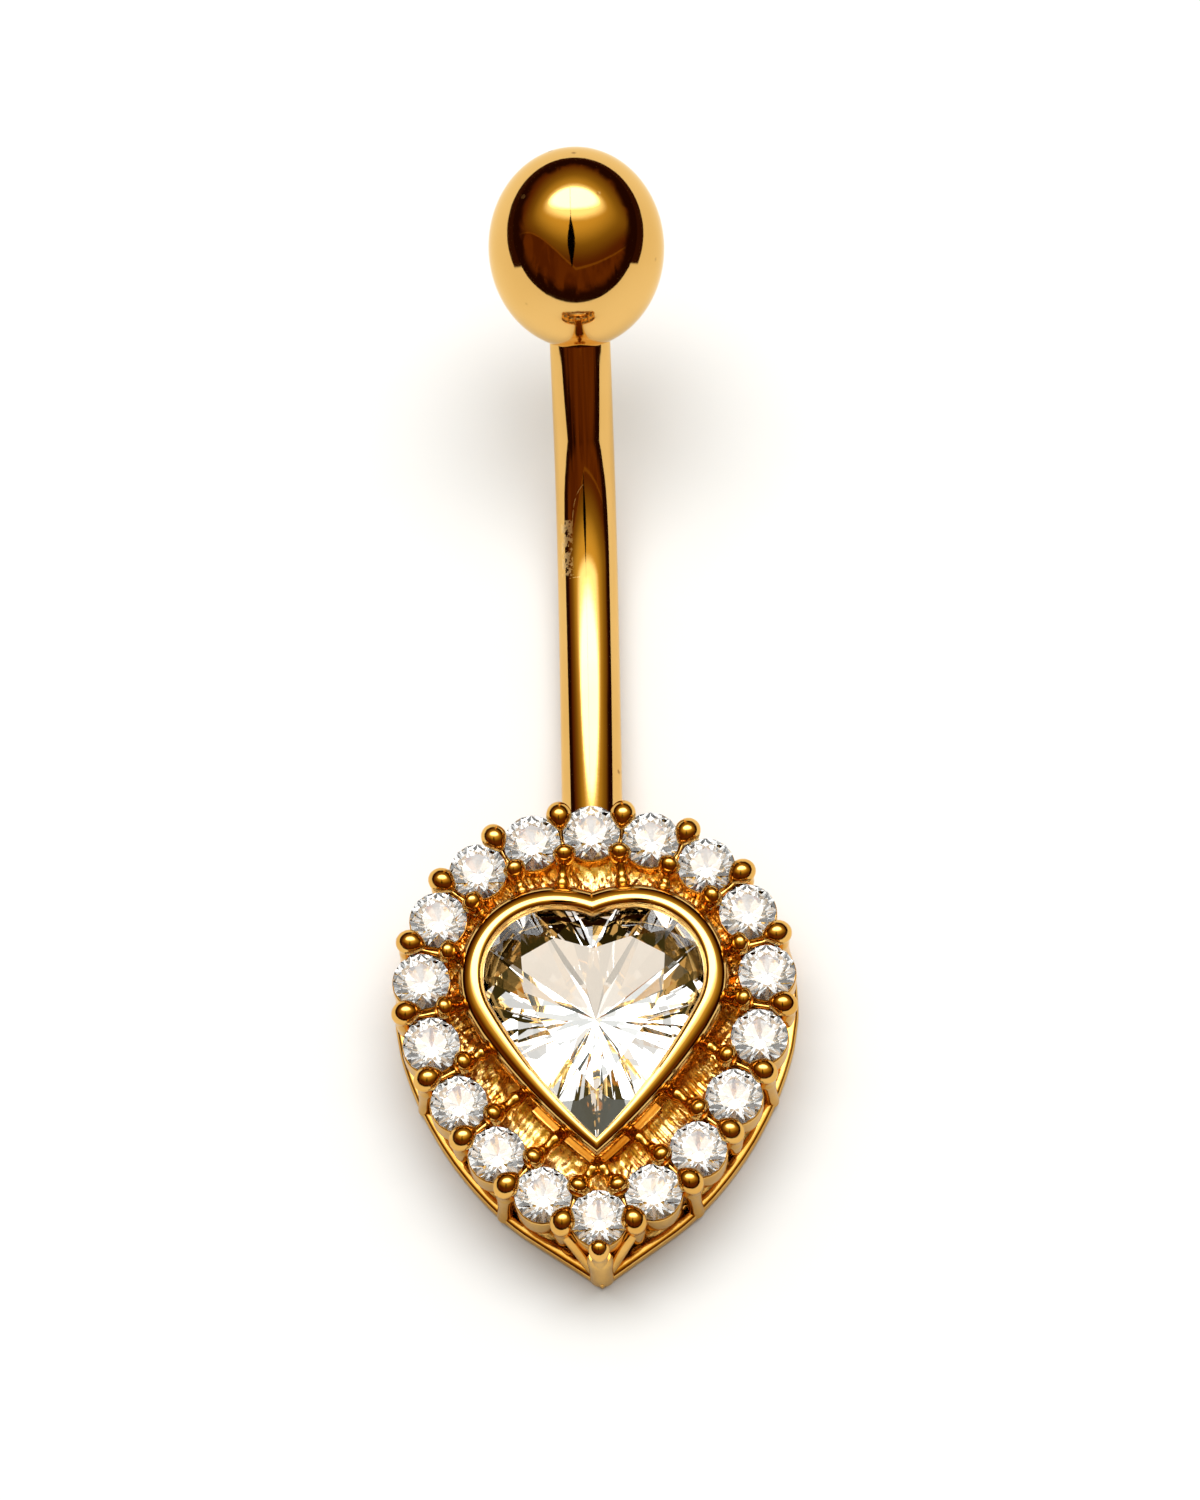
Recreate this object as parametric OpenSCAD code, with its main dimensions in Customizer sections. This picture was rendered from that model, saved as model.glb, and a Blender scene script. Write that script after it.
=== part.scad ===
// Curved navel bar with a heart stone in a halo of round stones, lying face up. Millimetres.

/* [Bar] */
// Diameter of the bar, 14 gauge
bar_d = 1.63; // [1.2:0.01:2]
// Distance from the top stone's centre to the bar's lowest point, where it touches what it lies on
bar_touch = 5.1; // [3:0.1:7]
// Radius of the bar's long, slight curve beside the setting
low_r = 24; // [16:1:60]
// Angle above level at which the tight bend begins
bend_start = 6; // [2:0.5:12]
// Radius of the tight bend, at the middle of the bar
bend_r = 6.2; // [4:0.1:12]
// Angle above level of the bar's upper end
bend_angle = 45; // [30:1:70]
// Length of the straight stretch above the bend
bar_top = 2.95; // [1:0.05:5]
// Diameter of the threaded stud, over the thread
stud_d = 1.2; // [0.8:0.05:1.3]
// Length of the threaded stud
stud_l = 3; // [1.5:0.1:3.5]

/* [Ball] */
// Width of the ball, across the bar
ball_d = 4.7; // [3:0.05:6]
// Length of the ball, along the bar
ball_l = 5.5; // [4:0.05:7]
// Depth to which the bar's shoulder sinks into the ball
ball_sink = 0.35; // [0.2:0.05:0.6]
// Play between the ball and the bar or its stud, on the radius
ball_play = 0.04; // [0.02:0.01:0.1]
// Free depth beyond the stud's end
bore_spare = 0.25; // [0.1:0.05:0.5]

/* [Halo of round stones] */
// Width of the halo, through the stones' centres
halo_w = 9.18; // [8.6:0.02:11]
// Length of the halo, from the top stone's centre to the tip stone's
halo_l = 10.56; // [10.2:0.02:12.5]
// Number of round stones, an even number
stone_count = 18; // [14:2:20]
// How much wider apart the stones stand at the sides than at the top and the tip
stone_spread = 0.14; // [0:0.02:0.2]
// Diameter of a round stone
stone_d = 1.52; // [1.2:0.02:1.54]
// Height of the round stones' girdles above the back
stone_z = 2.55; // [2.4:0.05:3.5]
// Gap between a stone and its seat
seat_gap = 0.03; // [0.02:0.01:0.06]

/* [Heart stone and bezel] */
// Distance from the halo's widest point in to the opening's
heart_side = 1.69; // [1.66:0.01:2]
// Distance from the top stone's centre down to the lobes' tops
heart_drop = 2.26; // [2.1:0.01:2.5]
// Distance from the tip stone's centre up to the opening's tip
heart_tip = 2.02; // [1.96:0.01:2.4]
// Angle by which the heart stone's table leans towards the tip
heart_lean = 5; // [0:0.5:6]
// How far the heart stone reaches under the bezel's lip
heart_tuck = 0.1; // [0.06:0.01:0.15]
// Height of the heart stone's girdle above the back
heart_z = 2.9; // [2.7:0.05:3.5]
// Width of the bezel
bezel_w = 0.68; // [0.5:0.02:0.76]
// Width of the bezel at its tip, as a share
bezel_tip = 0.6; // [0.5:0.05:1]
// Height of the bezel's foot above the back
bezel_foot = 0.9; // [0.5:0.1:1.2]
// Height of the bezel's rounded top above the heart stone's girdle
bezel_rise = 0.48; // [0.4:0.02:0.7]

/* [Gallery] */
// Height of the base rim
rim_h = 0.45; // [0.3:0.05:0.8]
// Width of the base rim
rim_w = 0.55; // [0.4:0.05:0.8]
// Distance from the stones' centre line out to the base rim's edge
rim_out = 0.8; // [0.78:0.01:1]
// Distance from the tip stone's centre out to the base rim's point
rim_tip = 1.3; // [1.16:0.02:1.6]
// Height of the cups' undersides above the back
cup_z = 1.25; // [0.8:0.05:1.5]
// Wall of a cup at its mouth, outside the stone
cup_wall = 0.07; // [0.05:0.01:0.15]
// Thickness of the floor between the stones and the bezel
floor_t = 0.4; // [0.3:0.05:0.6]
// Diameter of the light hole under each round stone
light_d = 0.84; // [0.4:0.02:1]

/* [Prongs] */
// Diameter of an outer prong's post
outer_post_d = 0.4; // [0.3:0.02:0.44]
// Diameter of an outer prong's bead
outer_bead_d = 0.58; // [0.5:0.02:0.62]
// Diameter of the tip prong's foot, on the base rim
tip_foot_d = 0.6; // [0.4:0.05:0.8]
// Diameter of an inner prong's post
inner_post_d = 0.34; // [0.24:0.02:0.36]
// Diameter of an inner prong's bead
inner_bead_d = 0.48; // [0.38:0.02:0.5]
// Diameter of the rolls that join the inner prongs to the bezel
roll_d = 0.3; // [0.2:0.02:0.4]
// Height of the beads' middles above the round stones' girdles
bead_rise = 0.3; // [0.26:0.01:0.4]

/* [Hidden] */
stone_names = [for (i = [0:stone_count - 1]) str("halo_stone_", i < 10 ? "0" : "", i)];
$fn = 48;

gold = [0.93, 0.72, 0.3];
clear = [0.9, 0.93, 0.97];

bar_r = bar_d / 2;
stone_r = stone_d / 2;
fine = 8;          // points on each arc of an outline
half_steps = 32;   // steps from the top to the tip of a lofted outline
tiny = 0.01;

// Outlines are half curves from the top to the tip, right of the middle, made of arcs.
// Each row is the arc's radius, as a share of the first radius, and the angle that it turns through.
radius = 0;
turn = 1;
halo_arcs = [[1, 12], [0.685, 93], [1.446, 31]];
halo_last_turn = 29;
heart_arcs = [[1, 25], [0.75, 118]];
heart_last_turn = 16;
heart_start = -25; // the right lobe sets out upwards from the cleft

// The arc of radius r from point p, heading a degrees below level, turning t degrees
function arc_at(p, a, r, t) = p + r * [sin(a + t) - sin(a), cos(a + t) - cos(a)];
function chain(arcs, a, p = [0, 0], i = 0) = i == len(arcs)
    ? [p]
    : let (r = arcs[i][radius], t = arcs[i][turn])
        concat([for (k = [0:fine - 1]) arc_at(p, a, r, t * k / fine)],
            chain(arcs, a + t, arc_at(p, a, r, t), i + 1));
function total_turn(arcs, i = 0) = i == len(arcs) ? 0 : arcs[i][turn] + total_turn(arcs, i + 1);
// The last arc's radius is the one that brings the outline back to the middle
function closed_arcs(arcs, a, last_turn) =
    let (out = chain(arcs, a), x = out[len(out) - 1].x, b = a + total_turn(arcs))
        concat(arcs, [[x / (sin(b) - sin(b + last_turn)), last_turn]]);
function half_outline(arcs, a, last_turn, w, l) =
    let (u = chain(closed_arcs(arcs, a, last_turn), a),
        top = max([for (p = u) p.y]), low = min([for (p = u) p.y]), side = max([for (p = u) p.x]))
        [for (p = u) [p.x * w / 2 / side, (p.y - top) * l / (top - low)]];

// Places by length along a curve
function running(pts) = [for (i = 0, s = 0; i < len(pts);
    s = s + (i + 1 < len(pts) ? norm(pts[i + 1] - pts[i]) : 0), i = i + 1) s];
function length_of(pts) = let (s = running(pts)) s[len(s) - 1];
function place_at(pts, at) = let (s = running(pts), n = len(pts) - 1)
    [lookup(at, [for (i = [0:n]) [s[i], pts[i].x]]), lookup(at, [for (i = [0:n]) [s[i], pts[i].y]])];
function evenly(pts, n) = let (l = length_of(pts)) [for (i = [0:n]) place_at(pts, l * i / n)];
function normal_at(pts, i) =
    let (d = pts[min(i + 1, len(pts) - 1)] - pts[max(i - 1, 0)]) [-d.y, d.x] / norm(d);
function on_middle(a, b) = [0, a.y - a.x * (b.y - a.y) / (b.x - a.x)];
// The half curve set out by d, or by tip times d at its tip, and cut or carried on to the middle
tip_from = 0.7; // where along the curve the change towards its tip begins
function set_out(pts, d, n = half_steps, tip = 1) =
    let (last = len(pts) - 1,
        raw = [for (i = [0:last])
            let (late = max(0, i / last - tip_from) / (1 - tip_from))
                pts[i] + d * (1 - (1 - tip) * late) * normal_at(pts, i)],
        kept = [for (p = raw) if (p.x > tiny) p],
        end = len(kept) - 1)
        evenly(concat([on_middle(kept[0], kept[1])], kept, [on_middle(kept[end], kept[end - 1])]), n);
// The whole closed outline, with the left half mirrored
function whole(half) = let (n = len(half) - 1)
    concat(half, [for (i = [n - 1:-1:1]) [-half[i].x, half[i].y]]);
function lift(pts, z) = [for (p = pts) [p.x, p.y, z]];

// The curve through the round stones' centres, with the top stone's centre at the origin
halo = half_outline(halo_arcs, 0, halo_last_turn, halo_w, halo_l);
halo_half = length_of(halo);
pitch = halo_half * 2 / stone_count;
// Length along the half curve of stone i, which may be a half number for a prong
function stone_at(i) = i * pitch - stone_spread * sin(360 * i * 2 / stone_count);
// Point at length s along the whole halo, clockwise from the top stone
function on_halo(s) = let (q = place_at(halo, s < 0 ? -s : s > halo_half ? 2 * halo_half - s : s))
    s < 0 || s > halo_half ? [-q.x, q.y] : q;
// Point beside the halo at place i, counted clockwise from the top stone, off to the outside
function beside(i, off) =
    let (s = i <= stone_count / 2 ? stone_at(i) : 2 * halo_half - stone_at(stone_count - i),
        d = on_halo(s + tiny) - on_halo(s - tiny))
        on_halo(s) + off * [-d.y, d.x] / norm(d);

// The opening of the bezel
heart_w = halo_w - 2 * heart_side;
heart_l = halo_l - heart_drop - heart_tip;
heart = [for (p = half_outline(heart_arcs, heart_start, heart_last_turn, heart_w, heart_l))
    p - [0, heart_drop]];

// Shares of a round stone: heights of its diameter, radii of its radius
crown_share = 0.16;
pavilion_share = 0.43;
round_table = 0.56;
round_low = 0.24;
round_facets = 8;
girdle_t = 0.04;
stone_crown = crown_share * stone_d;
stone_depth = pavilion_share * stone_d;
cup_top = stone_z - girdle_t - cup_wall;
bead_z = stone_z + bead_rise;
// A prong's post stands clear of the stones beside it, and its bead leans over them
post_gap = 0.04;
narrow = stone_at(1);   // the closest that two stones stand
outer_off = sqrt(pow(stone_r + outer_post_d / 2 + post_gap, 2) - pow(narrow / 2, 2));
inner_off = -sqrt(pow(stone_r + inner_post_d / 2 + post_gap, 2) - pow(narrow / 2, 2)) - post_gap;
outer_lean = 0.17;
inner_lean = 0.04;
tip_lean = 0.06;
tip_off = stone_r + outer_post_d / 2 + post_gap;
// Where the posts end below: in the base rim, in the cups' feet, or in the floor
rim_foot_z = rim_h / 2;
cup_foot_z = cup_z - 0.15;
floor_z = cup_z + 0.05;

cup_foot_wall = 0.26;
band_out = 0.47;       // edges of the band that joins the cups, from the stones' centre line
band_in = 0.52;
band_drop = 0.15;      // from the cups' mouths down to the band's top
seat_mouth = 1;        // depth of the cut above the stones' girdles
light_rise = 0.28;     // how far the light hole runs up past the seat's point

// The rim's point: its sides run straight from beside the second stone from the tip
rim_from = stone_count / 2 - 1;
rim_point = [0, -halo_l - rim_tip];
function pointed(half, low_y) = concat([for (p = half) if (p.y > low_y) p], [rim_point]);
rim_outer = pointed(set_out(halo, rim_out), beside(rim_from, rim_out).y);
rim_inner = set_out(halo, rim_out - rim_w);

heart_crown = 0.4;
heart_depth = 2.35;
heart_girdle = 0.05;
heart_facets = 12;       // main facets of the heart stone, from the cleft round to the cleft
heart_table = 0.34;      // how far the table's edge stays in, as a share of half the width
heart_star = 0.17;
heart_star_rise = 0.56;  // share of the crown's height
heart_low = 0.3;         // share of the way out from the culet
heart_low_depth = 0.68;  // share of the whole depth
heart_culet = 0.41;      // share of the length, down from the lobes' tops

// The bezel's inside: a ledge under the stone, the seat's foot and the lip over the stone
ledge_w = 0.3;
ledge_down = 0.5;
seat_down = 0.12;
lip_up = 0.06;
lip_top = 0.16;
dome_start = 0.35;       // share of the rise at which the rounded top begins, at the opening
dome_peak = 0.28;        // where the rounded top is highest, as a share of the width
foot_step = 0.12;
foot_rise = 0.2;

bend_lap = 0.2;
// The bar's places are [y, z]. Its lowest point lies on the same plane as the base rim.
bar_from = light_d / 2 + seat_gap;
low_centre = [bar_touch, bar_r + low_r];
low_from = -asin((bar_touch - bar_from) / low_r);
function on_circle(centre, r, a) = centre + r * [sin(a), -cos(a)];
bend_centre = on_circle(low_centre, low_r - bend_r, bend_start);
bend_end = on_circle(bend_centre, bend_r, bend_angle);
along = [cos(bend_angle), sin(bend_angle)];
shoulder = bend_end + bar_top * along;
ball_at = shoulder + (ball_l / 2 - ball_sink) * along;
ball_reach = norm([ball_l / 2 * along.x, ball_d / 2 * along.y]);
// The middle of the whole length is the origin
mid_y = (ball_at.x + ball_reach + rim_point.y) / 2;

module placed() { translate([0, -mid_y, 0]) children(); }
// Turns +Z into the direction of the bar's upper end, at a point given as [y, z]
module up_the_bar(at) { translate([0, at.x, at.y]) rotate([bend_angle - 90, 0, 0]) children(); }

// A closed tube of quads through rings of points, which join up at both ends
module ring_loft(rings) {
    n = len(rings[0]);
    m = len(rings);
    polyhedron(
        points = [for (r = rings) each r],
        faces = [for (j = [0:m - 1], i = [0:n - 1])
            let (a = j * n + i, b = j * n + (i + 1) % n, c = (j + 1) % m * n + (i + 1) % n,
                d = (j + 1) % m * n + i) each [[a, c, b], [a, d, c]]]);
}

// A brilliant cut through its girdle, star, table and lower points, with twice as many points
// in the girdle rings as in the others
module brilliant(table, star, upper, lower, low, middle, culet) {
    m = len(table);
    g = m * 2;
    t0 = 0; s0 = m; u0 = 2 * m; l0 = u0 + g; p0 = l0 + g; mid = p0 + m; tip = mid + 1;
    polyhedron(
        points = concat(table, star, upper, lower, low, [middle, culet]),
        faces = [for (k = [0:m - 1])
            let (n = (k + 1) % m, a = 2 * k, b = 2 * k + 1, c = (2 * k + 2) % g)
            each [
                [mid, t0 + k, t0 + n],
                [t0 + k, s0 + k, t0 + n],
                [t0 + n, s0 + k, u0 + c], [t0 + k, u0 + a, s0 + k],
                [s0 + k, u0 + a, u0 + b], [s0 + k, u0 + b, u0 + c],
                [u0 + a, l0 + a, l0 + b], [u0 + a, l0 + b, u0 + b],
                [u0 + b, l0 + b, l0 + c], [u0 + b, l0 + c, u0 + c],
                [l0 + a, p0 + k, l0 + b], [l0 + b, p0 + k, l0 + c],
                [l0 + a, tip, p0 + k], [p0 + k, tip, l0 + c]]]);
}

// Points at m angles around Z, clockwise, the first turned by a
function around(m, r, z, a = 0) =
    [for (k = [0:m - 1]) [r * sin(360 * k / m + a), r * cos(360 * k / m + a), z]];

module round_stone() {
    m = round_facets;
    half = 180 / m;
    table_r = round_table * stone_r;
    star_r = (table_r * cos(half) + stone_r) / 2;
    low_r = round_low * stone_r;
    star_z = stone_crown * (stone_r - star_r * cos(half)) / (stone_r - table_r);
    low_z = -stone_depth * (stone_r - low_r * cos(half)) / stone_r;
    brilliant(around(m, table_r, stone_crown), around(m, star_r, star_z, half),
        around(2 * m, stone_r, 0), around(2 * m, stone_r, -girdle_t),
        around(m, low_r, low_z - girdle_t, half), [0, 0, stone_crown], [0, 0, -stone_depth - girdle_t]);
}

module halo_stone(i) {
    p = beside(i, 0);
    color(clear) placed() translate([p.x, p.y, stone_z]) round_stone();
}

// Every second point of a ring, from the first or from the next
function every_second(pts, from) = [for (i = [from:2:len(pts) - 1]) pts[i]];
function towards(pts, c, share) = [for (p = pts) c + (p - c) * share];

module heart_stone() {
    edge = whole(set_out(heart, heart_tuck, heart_facets));
    table = whole(set_out(heart, heart_tuck - heart_table * heart_w / 2, heart_facets));
    star = whole(set_out(heart, heart_tuck - heart_star * heart_w / 2, heart_facets));
    culet = [0, -heart_drop - heart_culet * heart_l];
    // Points at a share of the crown's height, under the leaning table
    function crowned(pts, share) =
        [for (p = pts) [p.x, p.y, share * (heart_crown + (p.y - culet.y) * tan(heart_lean))]];
    color(clear) placed() translate([0, 0, heart_z])
        brilliant(crowned(every_second(table, 0), 1), crowned(every_second(star, 1), heart_star_rise),
            lift(edge, 0), lift(edge, -heart_girdle),
            lift(towards(every_second(edge, 1), culet, heart_low), -heart_low_depth * heart_depth),
            [culet.x, culet.y, heart_crown], [culet.x, culet.y, -heart_depth]);
}

// The bezel's section, as [how far out from the opening, height above the heart stone's girdle]
module bezel() {
    w = bezel_w;
    lip = heart_tuck + seat_gap + tiny;
    foot = bezel_foot - heart_z;
    peak = dome_peak * w;
    dome = [for (a = [170:-20:10]) a < 90
        ? [peak + (w - peak) * cos(a), bezel_rise * sin(a)]
        : [peak + peak * cos(a), bezel_rise * (dome_start + (1 - dome_start) * sin(a))]];
    section = concat(
        [[-ledge_w, foot], [-ledge_w, -ledge_down], [lip, -seat_down], [lip, lip_up], [0, lip_top]], dome,
        [[w, 0], [w, foot + foot_rise], [w - foot_step, foot]]);
    translate([0, 0, heart_z])
        ring_loft([for (s = section)
            lift(whole(set_out(heart, s.x, half_steps, s.x > lip ? bezel_tip : 1)), s.y)]);
}

module slab(half, z, h) { translate([0, 0, z]) linear_extrude(h) polygon(whole(half)); }

module base_rim() {
    difference() {
        slab(rim_outer, 0, rim_h);
        slab(rim_inner, -rim_h, 3 * rim_h);
    }
}

// What carries the stones: the cups, the band that joins them and the floor up to the bezel
module cups_and_floor() {
    seat_r = stone_r + seat_gap;
    seat_z = stone_z - girdle_t - seat_gap;
    difference() {
        union() {
            for (i = [0:stone_count - 1]) translate([each beside(i, 0), cup_z])
                cylinder(r1 = light_d / 2 + cup_foot_wall, r2 = stone_r + cup_wall, h = cup_top - cup_z);
            difference() {
                slab(set_out(halo, band_out), floor_z, cup_top - band_drop - floor_z);
                slab(set_out(halo, -band_in), floor_z + floor_t, cup_top);
                slab(set_out(heart, bezel_w / 2), 0, heart_z);
            }
        }
        for (i = [0:stone_count - 1]) translate([each beside(i, 0), 0]) {
            translate([0, 0, seat_z - stone_depth]) cylinder(r1 = tiny, r2 = seat_r, h = stone_depth);
            translate([0, 0, seat_z - tiny]) cylinder(r = seat_r, h = seat_mouth);
            cylinder(r = light_d / 2, h = seat_z - stone_depth + light_rise);
        }
    }
}

// A post with a bead: the bead leans by lean towards the stones
module prong(i, off, lean, post_d, bead_d, foot_z, foot_d) {
    p = beside(i, off);
    q = beside(i, off + lean);
    translate([p.x, p.y, foot_z]) cylinder(d1 = foot_d, d2 = post_d, h = bead_z - foot_z);
    translate([q.x, q.y, bead_z]) sphere(d = bead_d);
}

function nearest(p, pts) = let (d = [for (q = pts) norm(q - p)], k = search(min(d), d)[0]) pts[k];

// A short roll from an inner prong to the bezel's wall
module roll(i) {
    p = beside(i, inner_off);
    wall = set_out(heart, bezel_w / 2, half_steps * 2, bezel_tip);
    q = nearest(p, wall);
    r = nearest(p, [for (v = wall) [-v.x, v.y]]);
    to = norm(q - p) < norm(r - p) ? q : r;
    translate([p.x, p.y, cup_top - roll_d / 2]) rotate([0, 90, atan2(to.y - p.y, to.x - p.x)])
        cylinder(d = roll_d, h = norm(to - p));
}

module prongs() {
    // Every second outer post runs down to the base rim, and the others end at the cups
    for (i = [0:stone_count - 1]) {
        from_tip = abs(i + 0.5 - stone_count / 2) + 0.5;
        foot_z = from_tip % 2 == 0 ? rim_foot_z : cup_foot_z;
        prong(i + 0.5, outer_off, -outer_lean, outer_post_d, outer_bead_d, foot_z, outer_post_d);
        prong(i + 0.5, inner_off, inner_lean, inner_post_d, inner_bead_d, floor_z + floor_t / 2,
            inner_post_d);
        roll(i + 0.5);
    }
    // The tip's own prong, on a post that broadens down to the base rim
    prong(stone_count / 2, tip_off, -tip_lean, outer_post_d, outer_bead_d, rim_foot_z, tip_foot_d);
}

// A curved stretch of the bar, from one angle above level to another
module stretch(centre, r, bar_radius, from, to) {
    translate([0, centre.x, centre.y]) rotate([0, 90, 0]) rotate(from)
        rotate_extrude(angle = to - from) translate([r, 0]) circle(r = bar_radius);
}

module bar() {
    // Each stretch starts inside the one before, a hair thinner, so that the two never share a face
    stretch(low_centre, low_r, bar_r, low_from, bend_start);
    stretch(bend_centre, bend_r, bar_r - tiny, bend_start - bend_lap / bend_r * 180 / PI, bend_angle);
    up_the_bar(bend_end) translate([0, 0, -bend_lap]) cylinder(r = bar_r - 2 * tiny, h = bar_top + bend_lap);
    up_the_bar(shoulder) translate([0, 0, -tiny]) cylinder(d = stud_d, h = stud_l + tiny);
}

module curved_bar_setting() {
    color(gold) placed() {
        base_rim();
        cups_and_floor();
        bezel();
        prongs();
        bar();
    }
}

module screw_ball() {
    color(gold) placed() up_the_bar(ball_at) difference() {
        scale([ball_d, ball_d, ball_l]) sphere(d = 1);
        translate([0, 0, -ball_l]) cylinder(r = bar_r + ball_play, h = ball_l / 2 + ball_sink + ball_play);
        translate([0, 0, ball_sink - ball_l / 2])
            cylinder(r = stud_d / 2 + ball_play, h = stud_l + bore_spare);
    }
}

curved_bar_setting();
heart_stone();
screw_ball();
for (i = [0:stone_count - 1]) halo_stone(i);
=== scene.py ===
import math

import bmesh
import bpy
from mathutils import Matrix, Vector


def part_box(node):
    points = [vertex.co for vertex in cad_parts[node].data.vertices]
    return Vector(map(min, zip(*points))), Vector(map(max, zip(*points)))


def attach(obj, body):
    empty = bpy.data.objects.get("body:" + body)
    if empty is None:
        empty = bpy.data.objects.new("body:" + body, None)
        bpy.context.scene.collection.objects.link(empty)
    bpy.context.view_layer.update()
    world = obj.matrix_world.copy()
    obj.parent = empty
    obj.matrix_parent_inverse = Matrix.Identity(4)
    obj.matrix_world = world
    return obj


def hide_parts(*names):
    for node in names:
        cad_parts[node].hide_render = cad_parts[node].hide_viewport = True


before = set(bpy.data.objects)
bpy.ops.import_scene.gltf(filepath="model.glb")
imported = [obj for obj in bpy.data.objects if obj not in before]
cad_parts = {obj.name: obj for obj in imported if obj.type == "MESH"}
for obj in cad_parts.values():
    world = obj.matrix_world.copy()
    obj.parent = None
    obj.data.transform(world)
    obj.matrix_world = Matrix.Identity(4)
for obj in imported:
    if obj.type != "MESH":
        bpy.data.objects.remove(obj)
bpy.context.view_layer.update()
mm = 0.001
print("frame loaded")

# Node helpers


def addNode(tree, kind, inputs=(), **settings):
    made = tree.nodes.new(kind)
    for name, value in settings.items():
        setattr(made, name, value)
    for key, value in dict(inputs).items():
        if isinstance(value, bpy.types.NodeSocket):
            tree.links.new(value, made.inputs[key])
        else:
            made.inputs[key].default_value = value
    return made


def calc(tree, operation, first, second=0.0, clamp=False):
    return addNode(tree, "ShaderNodeMath", {0: first, 1: second}, operation=operation, use_clamp=clamp).outputs[0]


def remap(tree, value, low, high, outLow=0.0, outHigh=1.0, smooth=True):
    kind = "SMOOTHSTEP" if smooth else "LINEAR"
    return addNode(tree, "ShaderNodeMapRange", {"Value": value, "From Min": low, "From Max": high,
                                                "To Min": outLow, "To Max": outHigh},
                   interpolation_type=kind).outputs["Result"]


def blendColor(tree, share, first, second):
    mix = addNode(tree, "ShaderNodeMix", {"Factor": share}, data_type="RGBA")
    for index, value in ((6, first), (7, second)):
        if isinstance(value, bpy.types.NodeSocket):
            tree.links.new(value, mix.inputs[index])
        else:
            mix.inputs[index].default_value = (*value, 1)
    return mix.outputs[2]


# The marks that hand polishing and casting leave: slow tone drift, fine grain, and a few pits
finish = bpy.data.node_groups.new("metalFinish", "ShaderNodeTree")
for name, kind in (("Tone", "NodeSocketColor"), ("Deep Tone", "NodeSocketColor"),
                   ("Drift Scale", "NodeSocketFloat"), ("Grain Scale", "NodeSocketFloat"),
                   ("Pit Scale", "NodeSocketFloat"), ("Pit Share", "NodeSocketFloat"),
                   ("Smoothest", "NodeSocketFloat"), ("Roughest", "NodeSocketFloat")):
    finish.interface.new_socket(name, in_out="INPUT", socket_type=kind)
for name, kind in (("Color", "NodeSocketColor"), ("Roughness", "NodeSocketFloat"), ("Height", "NodeSocketFloat")):
    finish.interface.new_socket(name, in_out="OUTPUT", socket_type=kind)
given = finish.nodes.new("NodeGroupInput").outputs
place = addNode(finish, "ShaderNodeTexCoord").outputs["Object"]
drift = addNode(finish, "ShaderNodeTexNoise", {"Vector": place, "Scale": given["Drift Scale"],
                                               "Detail": 3.0}).outputs["Fac"]
grain = addNode(finish, "ShaderNodeTexNoise", {"Vector": place, "Scale": given["Grain Scale"],
                                               "Detail": 4.0, "Roughness": 0.6}).outputs["Fac"]
cell = addNode(finish, "ShaderNodeTexVoronoi", {"Vector": place, "Scale": given["Pit Scale"]})
chosen = calc(finish, "LESS_THAN", addNode(finish, "ShaderNodeSeparateColor", {
    "Color": cell.outputs["Color"]}).outputs[0], given["Pit Share"])
pit = calc(finish, "MULTIPLY", remap(finish, cell.outputs["Distance"], 0.05, 0.16, 1.0, 0.0), chosen)
tone = blendColor(finish, remap(finish, drift, 0.3, 0.7), given["Deep Tone"], given["Tone"])
worn = remap(finish, calc(finish, "ADD", calc(finish, "MULTIPLY", drift, 0.6), calc(finish, "MULTIPLY", grain, 0.4)),
             0.3, 0.7)
rough = calc(finish, "ADD", given["Smoothest"], calc(
    finish, "MULTIPLY", worn, calc(finish, "SUBTRACT", given["Roughest"], given["Smoothest"])))
addNode(finish, "NodeGroupOutput", {
    "Color": blendColor(finish, calc(finish, "MULTIPLY", pit, 0.75), tone, (0.16, 0.05, 0.008)),
    "Roughness": calc(finish, "ADD", rough, calc(finish, "MULTIPLY", pit, 0.3)),
    "Height": calc(finish, "SUBTRACT", grain, calc(finish, "MULTIPLY", pit, 2.5))})

golds = {
    "polishedGold": {"tone": (0.77, 0.47, 0.15), "deep": (0.70, 0.41, 0.115), "drift": 240, "grain": 5200,
                     "pits": 1500, "share": 0.09, "rough": (0.03, 0.08), "depth": 0.0000006,
                     "rim": (1.0, 0.93, 0.74)},
    "wireGold": {"tone": (0.80, 0.47, 0.13), "deep": (0.68, 0.36, 0.08), "drift": 900, "grain": 6500,
                 "pits": 2600, "share": 0.05, "rough": (0.07, 0.17), "depth": 0.000002,
                 "rim": (1.0, 0.9, 0.66)},
    "castGold": {"tone": (1.0, 0.74, 0.30), "deep": (0.92, 0.56, 0.16), "drift": 1500, "grain": 5200,
                 "pits": 3600, "share": 0.22, "rough": (0.12, 0.34), "depth": 0.00002,
                 "rim": (1.0, 0.8, 0.45)},
}


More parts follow.
